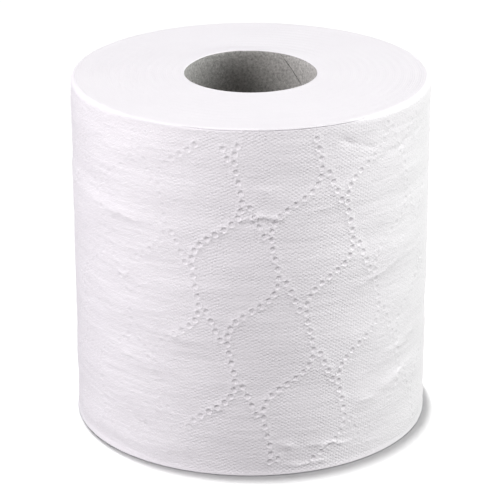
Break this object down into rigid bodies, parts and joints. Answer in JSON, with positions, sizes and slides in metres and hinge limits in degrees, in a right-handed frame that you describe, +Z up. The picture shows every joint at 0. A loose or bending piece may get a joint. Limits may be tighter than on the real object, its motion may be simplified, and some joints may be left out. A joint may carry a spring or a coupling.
{
  "type": "toilet paper roll",
  "caption": "Round roll of white two-ply toilet paper with rows of embossed dots, wound on a grey cardboard core tube and standing on its end.",
  "frame": {"origin": "middle of the lower end face, on the core's axis", "axes": "+Z up along the core, -Y towards the front that the picture shows, +X to its right"},
  "size_m": [0.1141, 0.114, 0.114],
  "materials": {
    "cardboard": "matte grey board with fibre specks",
    "paper": "soft matte white embossed tissue"
  },
  "bodies": {
    "root": {"core_tube": "cardboard", "paper_winding": "paper"}
  },
  "joints": []
}
